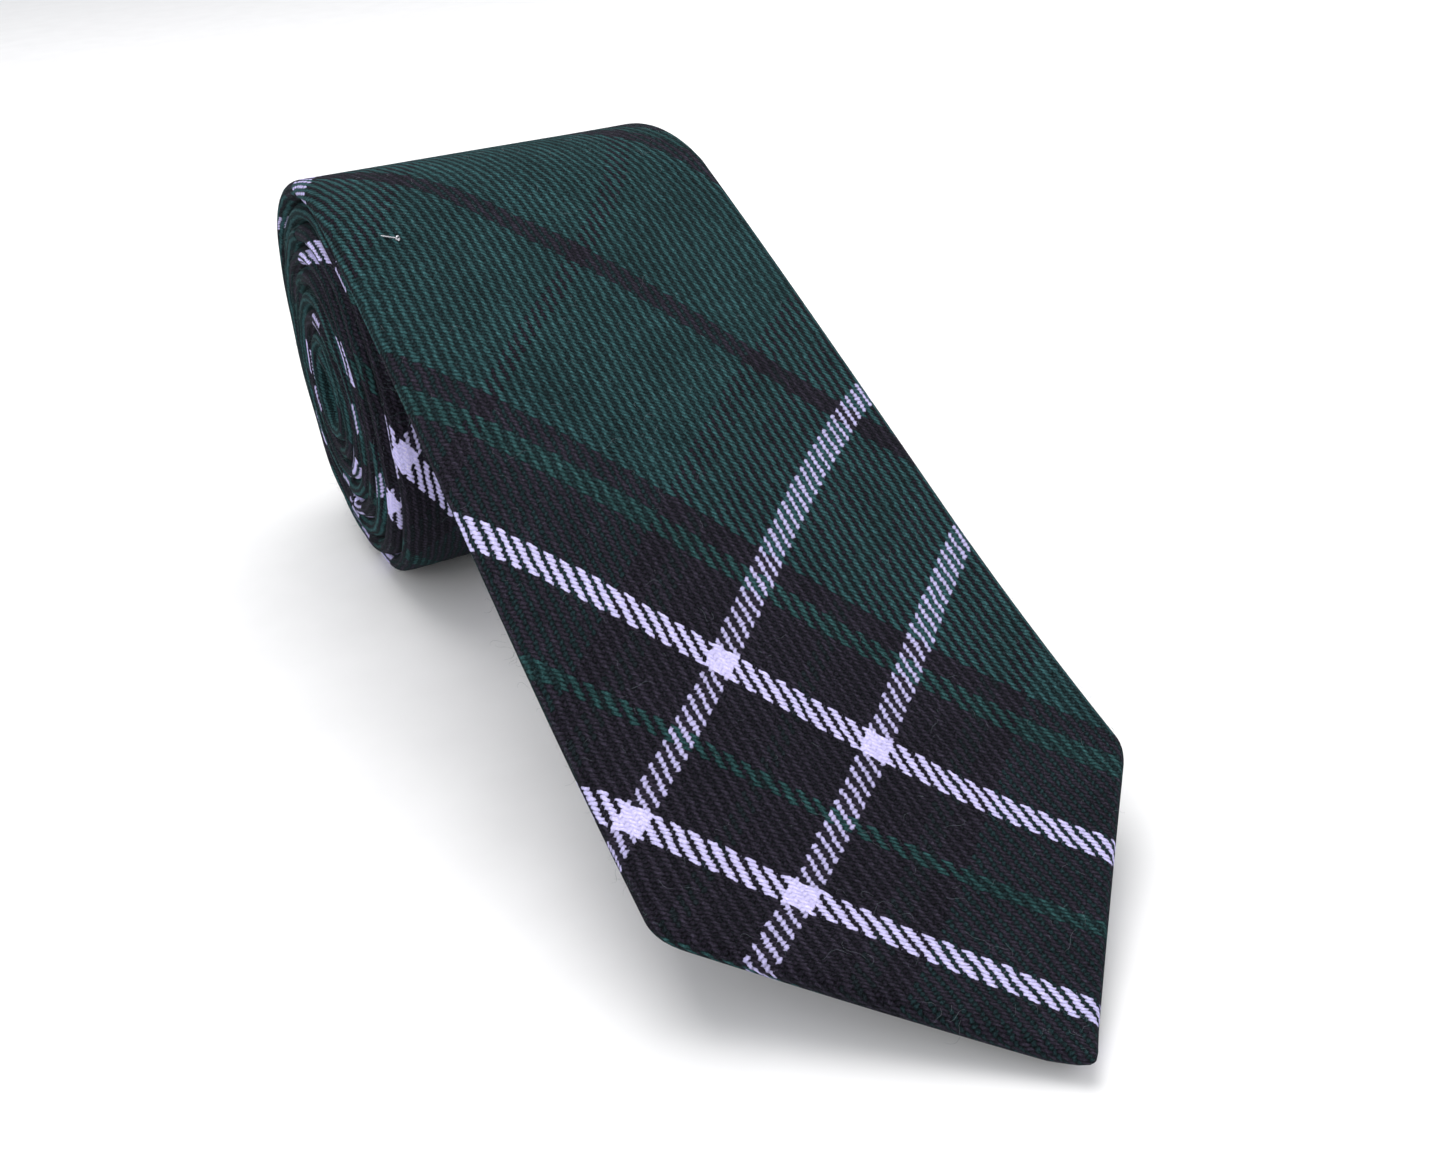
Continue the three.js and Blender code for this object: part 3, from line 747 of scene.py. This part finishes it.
band_piece(
    "tail_canvas",
    [
        (NECK_FROM + 0.5, TOP, FULL),
        (TAIL_TIPPING_FROM - 5, TOP, FULL),
        (TAIL_TIPPING_FROM - 2, TOP, THIN),
        (TAIL_TIPPING_END, TOP, THIN),
    ],
    *canvas,
    "roll",
    "interlining_canvas",
    "tail_interlining",
)
band_piece(
    "blade_lining",
    [(TIPPING_FROM, UNDER, LINING_BOTTOM), (TIPPING_END, UNDER, LINING_BOTTOM)],
    INSET,
    LINING,
    "front_blade",
    "tipping_lining",
    "front_tipping",
)
band_piece(
    "tail_lining",
    [(TAIL_TIPPING_FROM, UNDER, LINING_BOTTOM), (TAIL_TIPPING_END, UNDER, LINING_BOTTOM)],
    INSET,
    LINING,
    "roll",
    "tipping_lining",
    "tail_tipping",
)

# ---- stitches ------------------------------------------------------------------------------------


def tube(path, radius, sides=6):
    """Points and faces of a round thread along a path of points, with closed ends."""
    path = np.asarray(path, float)
    forward = np.gradient(path, axis=0)
    forward /= np.linalg.norm(forward, axis=1)[:, None] + 1e-12
    helper = np.where(np.abs(forward[:, [2]]) < 0.9, [[0.0, 0.0, 1.0]], [[1.0, 0.0, 0.0]])
    side = np.cross(forward, helper)
    side /= np.linalg.norm(side, axis=1)[:, None]
    up = np.cross(side, forward)
    turn = np.linspace(0, 2 * math.pi, sides, endpoint=False)
    radius = np.broadcast_to(np.asarray(radius, float), len(path))
    ring = side[:, None, :] * np.cos(turn)[None, :, None] + up[:, None, :] * np.sin(turn)[None, :, None]
    points = (path[:, None, :] + ring * radius[:, None, None]).reshape(-1, 3)
    faces = [list(f) for f in grid_faces(len(path), sides, closed=True)[:, ::-1]]
    faces.append(list(range(sides)))
    faces.append([len(points) - 1 - k for k in range(sides)])
    return points, faces


def tubes_object(name, paths, radii, material, sides=6):
    """Many threads as one piece."""
    points, faces, count = [], [], 0
    for path, radius in zip(paths, radii):
        p, f = tube(path, radius, sides)
        points.append(p)
        faces += [[k + count for k in face] for face in f]
        count += len(p)
    return mesh_object(name, np.concatenate(points) * MM, faces, material)


def stitch(s, across, depth, length_s, length_x, lift=0.35, samples=9):
    """One stitch that comes up out of the cloth at both ends."""
    t = np.linspace(-1, 1, samples)
    along = s + t * length_s / 2
    x = across + t * length_x / 2
    arch = lift * (1 - np.sqrt(1 - 0.95 * t**2))
    y, z = place(along, depth - arch + lift * 0.2)
    return np.stack([x, y, z], -1)


def slip_stitches(name, start, end, body, node):
    """Loose slanting stitches that draw the two back flaps together."""
    paths = []
    for s in np.arange(start, end, 7.5):
        left, right = (float(v) for v in edges_at(np.array(s)))
        middle = (left + right) / 2
        slant = rng.uniform(1.5, 2.3)
        paths.append(stitch(s, middle, THICKNESS - 0.1, 3.2, slant, 0.2))
    item = tubes_object(name, paths, [0.13] * len(paths), THREAD)
    return finish_piece(item, body, "sewing_thread", node)


slip_stitches("blade_slip_stitches", FLAPS_MEET_AT + 5, FOLD_AT - 3, "front_blade", "front_slip_stitch")
slip_stitches("roll_slip_stitches", FOLD_AT + 5, TAIL_END - TAIL_FLAPS_MEET - 4, "roll", "rolled_slip_stitch")


def bar_tack(name, s, half_width, body, node):
    """Close stitches along the tie over four long ones that cross both flaps."""
    left, right = (float(v) for v in edges_at(np.array(float(s))))
    middle = (left + right) / 2
    paths = []
    for offset in (-0.45, -0.15, 0.15, 0.45):
        paths.append(stitch(s + offset, middle, THICKNESS + 0.45, 0.05, 2 * half_width, 0.1, 13))
    for x in np.arange(-half_width + 0.3, half_width - 0.2, 0.36):
        paths.append(stitch(s, middle + x, THICKNESS + 0.85, 2.1, 0.25, 0.35))
    item = tubes_object(name, paths, [0.15] * len(paths), THREAD)
    return finish_piece(item, body, "sewing_thread", node)


bar_tack("blade_bar_tack", FLAPS_MEET_AT + 1, 4, "front_blade", "front_bar_tack")
bar_tack("tail_bar_tack", TAIL_END - TAIL_FLAPS_MEET + 2, 3, "roll", "tail_bar_tack")


def seam_stitches(name, s, node):
    """The row of machine stitches that joins two lengths of the tie."""
    left, right = (float(v) for v in edges_at(np.array(float(s))))
    paths = [stitch(s, x, 0.55, 0.1, 1.7, 0.15) for x in np.arange(left + 2.5, right - 2.5, 2.1)]
    item = tubes_object(name, paths, [0.14] * len(paths), THREAD)
    return finish_piece(item, "roll", "sewing_thread", node)


seam_stitches("front_seam_stitches", FRONT_SEAM_AT, "front_neck_seam")
seam_stitches("tail_seam_stitches", TAIL_SEAM_AT, "neck_tail_seam")

# ---- keeper loop and labels ----------------------------------------------------------------------

LOOP_AT, LOOP_WIDTH, LOOP_SPAN, LOOP_RISE = 164.0, 11.0, 58.0, 1.8


def on_back(across, s, depth):
    """Points in millimetres, as thick_strip takes them."""
    y, z = place(s, depth)
    return np.stack([across, y, z], -1)


def keeper_band():
    """A narrow folded strip of the same wool, sewn down at its two ends and bowed between them."""
    half = LOOP_SPAN / 2
    x = np.linspace(-half, half, 120)
    low = THICKNESS + 0.3
    rise = LOOP_RISE * 1.1 * np.clip((half - 7 - np.abs(x)) / 7, 0, 1) ** 0.8
    rise = rise * (1 + 0.05 * np.cos(x / 9))
    side = np.linspace(-1, 1, 25)
    s = LOOP_AT + side[None, :] * LOOP_WIDTH / 2 * np.ones((len(x), 1))
    across = np.broadcast_to(x[:, None], s.shape)
    edge = np.sqrt(np.clip(1 - np.abs(side) ** 6, 0.02, 1))[None, :]
    middle = low + 0.5 + rise[:, None]
    outer = on_back(across, s, middle + 0.48 * edge)
    inner = on_back(across, s, middle - 0.48 * edge)
    i = 40 + across * 1.5 + s * 1.1
    j = -80 - across * 0.9 + s * 1.05
    item = thick_strip("keeper_band", outer, inner, np.stack([i, j], -1), WOOL)
    return finish_piece(item, "front_blade", "tartan_wool", "keeper_loop")


keeper_band()


def keeper_stitches(side):
    """The stitches that hold one end of the loop. side is -1 on the left and 1 on the right."""
    middle = side * (LOOP_SPAN / 2 - 3)
    paths = []
    for s in np.arange(LOOP_AT - 4, LOOP_AT + 4.1, 1.6):
        paths.append(stitch(s, middle, THICKNESS + 1.65, 1.3, 0.1, 0.15))
    name = "left" if side < 0 else "right"
    item = tubes_object(f"keeper_stitches_{name}", paths, [0.16] * len(paths), THREAD)
    return finish_piece(item, "front_blade", "sewing_thread", f"keeper_tack_{name}")


keeper_stitches(-1)
keeper_stitches(1)


def satin_tab(name, at, length, width, material, slot, node):
    """A blank woven label, its two ends turned under, a little wavy."""
    x = np.linspace(-width / 2, width / 2, 61)
    s = np.linspace(at - length / 2, at + length / 2, 33)
    across, along = np.meshgrid(x, s)
    wave = 0.05 * np.sin(across / 3.1 + along / 5.0)
    folded = 0.12 * (np.abs(across) > width / 2 - 2.5)
    edge = np.minimum(np.minimum(width / 2 - np.abs(across), length / 2 - np.abs(along - at)), 0.4) / 0.4
    half = (0.06 + folded / 2) * (0.3 + 0.7 * np.clip(edge, 0, 1))
    middle = THICKNESS + 0.52 + wave
    item = thick_strip(
        name,
        on_back(across, along, middle + half),
        on_back(across, along, middle - half),
        np.stack([across, along], -1),
        material,
    )
    return finish_piece(item, "front_blade", slot, node)


def tab_stitches(name, at, length, width, node):
    """Small running stitches round a label, just inside its edge."""
    margin = 1.5
    half_x, half_s = width / 2 - margin, length / 2 - margin
    paths = []
    depth = THICKNESS + 0.88
    for x in np.arange(-half_x + 0.8, half_x - 0.4, 1.7):
        for s in (at - half_s, at + half_s):
            paths.append(stitch(s, x, depth, 0.05, 1.1, 0.12))
    for s in np.arange(at - half_s + 0.8, at + half_s - 0.4, 1.7):
        for x in (-half_x, half_x):
            paths.append(stitch(s, x, depth, 1.1, 0.05, 0.12))
    item = tubes_object(name, paths, [0.11] * len(paths), THREAD)
    return finish_piece(item, "front_blade", "sewing_thread", node)


# Each label's place along the tie, its length along it and its width across.
MAKER_TAB = (136.0, 24.0, 46.0)
CARE_TAB = (110.0, 14.0, 22.0)
satin_tab("maker_tab", *MAKER_TAB, LABEL, "label_satin", "maker_label")
tab_stitches("maker_tab_stitches", *MAKER_TAB, "maker_label_stitch")
satin_tab("care_tab", *CARE_TAB, CARE, "care_label_satin", "care_label")
tab_stitches("care_tab_stitches", *CARE_TAB, "care_label_stitch")

# ---- the pin -------------------------------------------------------------------------------------

PIN_S, PIN_X = 191.6, -31.0  # where it goes into the cloth
PIN_DIP, PIN_TURN = 0.35, 0.95  # its slope off the cloth, and its turn from straight across the tie
PIN_PROUD, PIN_LENGTH = 4.0, 14.0
pin_slope = float(np.interp(PIN_S, LINE_S, LINE_SLOPE))
pin_normal = Vector((0, -math.sin(pin_slope), math.cos(pin_slope)))
towards_roll = Vector((0, math.cos(pin_slope), math.sin(pin_slope)))
pin_along = Vector((math.cos(PIN_TURN), 0, 0)) - towards_roll * math.sin(PIN_TURN)
pin_outward = pin_along * math.cos(PIN_DIP) + pin_normal * math.sin(PIN_DIP)
pin_y, pin_z = place(np.array(PIN_S), 0.0)
pin_head_at = Vector((PIN_X, float(pin_y), float(pin_z))) + pin_outward * PIN_PROUD


def lathe(name, profile, axis, origin, material, sides=32):
    """Turns a profile of (radius, distance along the axis) round the axis."""
    turn_to = axis.to_track_quat("Z", "Y")
    rings = []
    for radius, along in profile:
        for k in range(sides):
            a = 2 * math.pi * k / sides
            p = turn_to @ Vector((radius * math.cos(a), radius * math.sin(a), along)) + origin
            rings.append(tuple(p * MM))
    faces = [list(f) for f in grid_faces(len(profile), sides, closed=True)]
    faces.append(list(range(sides))[::-1])
    faces.append([len(rings) - sides + k for k in range(sides)])
    return mesh_object(name, rings, faces, material)


def pin_head_profile():
    """A pressed steel head: round rim, dished top, short neck."""
    profile = [(0.27, -0.62), (0.30, -0.50), (0.44, -0.38)]
    for k in range(9):
        a = -0.5 * math.pi + math.pi * k / 8
        profile.append((0.40 + 0.20 * math.cos(a), -0.14 + 0.20 * math.sin(a)))
    profile += [(0.30, -0.02), (0.20, -0.12), (0.10, -0.17), (0.02, -0.18)]
    return profile


def pin_wire_profile():
    """Straight wire that tapers to a point."""
    taper = [(0.2, 4.0), (0.18, 3.0), (0.1, 1.2), (0.02, 0.0)]
    return [(0.2, -0.5)] + [(radius, from_tip - PIN_LENGTH) for radius, from_tip in taper]


pin_head = lathe("pin_head_dished", pin_head_profile(), pin_outward, pin_head_at, STEEL)
finish_piece(pin_head, "pin", "pin_steel", "pin_head")
pin_wire = lathe("pin_wire", pin_wire_profile(), pin_outward, pin_head_at, STEEL, 20)
finish_piece(pin_wire, "pin", "pin_steel", "pin_shaft")

# ---- stray fibres --------------------------------------------------------------------------------


def fibre(s, across, depth, heading, length, lift, curl):
    """One loose fibre lying on or just off the cloth."""
    t = np.linspace(0, 1, 7)
    bend = heading + curl * t + 0.8 * np.sin(t * 5 + curl)
    step = length / len(t)
    x = across + np.cumsum(np.cos(bend)) * step
    along = s + np.cumsum(np.sin(bend)) * step
    y, z = place(along, depth - lift * np.sin(t * math.pi) - 0.05)
    return np.stack([x, y, z], -1)


def stray_fibres(name, count, s_from, s_to, body, material, edges=False):
    """Loose fibres over the face of the tie, or along its two edges."""
    paths, radii = [], []
    for _ in range(count):
        s = rng.uniform(s_from, s_to)
        left, right = (float(v) for v in edges_at(np.array(s)))
        heading = rng.uniform(0, 2 * math.pi)
        length = rng.uniform(0.8, 3.2) if rng.random() < 0.85 else rng.uniform(3, 7)
        if edges:
            x = left + 0.4 if rng.random() < 0.7 else right - 0.4
            length *= 0.6
            depth, lift = rng.uniform(0.2, 3.6), rng.uniform(0, 0.4)
        else:
            x = rng.uniform(left + 2, right - 2)
            depth, lift = 0.0, rng.uniform(0.05, 0.5)
        paths.append(fibre(s, x, depth, heading, length, lift, rng.uniform(-2.5, 2.5)))
        radii.append(np.interp(np.linspace(0, 1, 7), [0, 0.5, 1], [0.008, 0.014, 0.006]))
    item = tubes_object(name, paths, radii, material, 3)
    return finish_piece(item, body, "tartan_wool")


def fibre_material(name, colour):
    n = Nodes(name)
    shade = n.noise(n.place(), 900.0)
    pale = tuple(min(1.0, c * 1.8) for c in colour[:3]) + (1,)
    return n.set(Base_Color=n.mix(shade, colour, pale), Roughness=0.8, Sheen_Weight=0.3)


GREY_FIBRE = fibre_material("fibre_grey", (0.09, 0.11, 0.13, 1))
DARK_FIBRE = fibre_material("fibre_green", (0.03, 0.07, 0.07, 1))
stray_fibres("blade_fibres_pale", 260, 3, 168, "front_blade", GREY_FIBRE)
stray_fibres("blade_fibres_edge", 420, 44, 168, "front_blade", DARK_FIBRE, edges=True)
stray_fibres("roll_fibres_pale", 160, 188, 260, "roll", GREY_FIBRE)
stray_fibres("roll_fibres_edge", 3200, 190, 1440, "roll", DARK_FIBRE, edges=True)

# ---- floor, light and camera ---------------------------------------------------------------------


def pale_floor():
    n = Nodes("pale_floor")
    grain = n.noise(n.place(), 60.0, 3.0)
    colour = n.mix(n.range(grain, 0.3, 0.7, 0.0, 1.0), (0.90, 0.90, 0.91, 1), (0.93, 0.93, 0.94, 1))
    material = n.set(Base_Color=colour, Roughness=0.9, Specular_IOR_Level=0.1)
    half = 6.0
    corners = [(-half, -half, 0), (half, -half, 0), (half, half, 0), (-half, half, 0)]
    item = mesh_object("floor", corners, [(0, 1, 2, 3)], material, smooth=False)
    item.location.z = -0.0002
    return item


pale_floor()

world = bpy.data.worlds.new("studio")
bpy.context.scene.world = world
world.use_nodes = True
world.node_tree.nodes["Background"].inputs["Color"].default_value = (0.97, 0.98, 1.0, 1)
world.node_tree.nodes["Background"].inputs["Strength"].default_value = 0.70


def softbox(name, at, toward, size, power):
    light = bpy.data.lights.new(name, "AREA")
    light.shape = "RECTANGLE"
    light.size, light.size_y = size
    light.energy = power
    light.color = (1.0, 0.99, 0.97)
    item = bpy.data.objects.new(name, light)
    item.location = at
    item.rotation_mode = "QUATERNION"
    item.rotation_quaternion = (Vector(toward) - Vector(at)).to_track_quat("-Z", "Y")
    bpy.context.scene.collection.objects.link(item)


TARGET = (0.0, -0.06, 0.04)
softbox("overhead", (0.05, 0.25, 0.95), TARGET, (0.9, 0.7), 7.5)
softbox("front_left", (-0.75, -0.65, 0.55), TARGET, (0.6, 0.6), 2.0)
softbox("right", (0.85, -0.2, 0.45), TARGET, (0.5, 0.6), 1.5)

camera_data = bpy.data.cameras.new("camera")
camera_data.sensor_width = 36.0
camera_data.lens = 36.84706
camera_data.clip_start, camera_data.clip_end = 0.01, 30.0
camera = bpy.data.objects.new("camera", camera_data)
camera.location = (-0.09529, -0.30233, 0.15943)
camera.rotation_mode = "QUATERNION"
right = Vector((0.88873, -0.45496, -0.05621))
looking = Vector((0.3703, 0.78477, -0.49701))
upward = right.cross(looking)
camera.rotation_quaternion = Matrix((right, upward, -looking)).transposed().to_quaternion()
bpy.context.scene.collection.objects.link(camera)
bpy.context.scene.camera = camera

bpy.context.scene.view_settings.view_transform = "Standard"
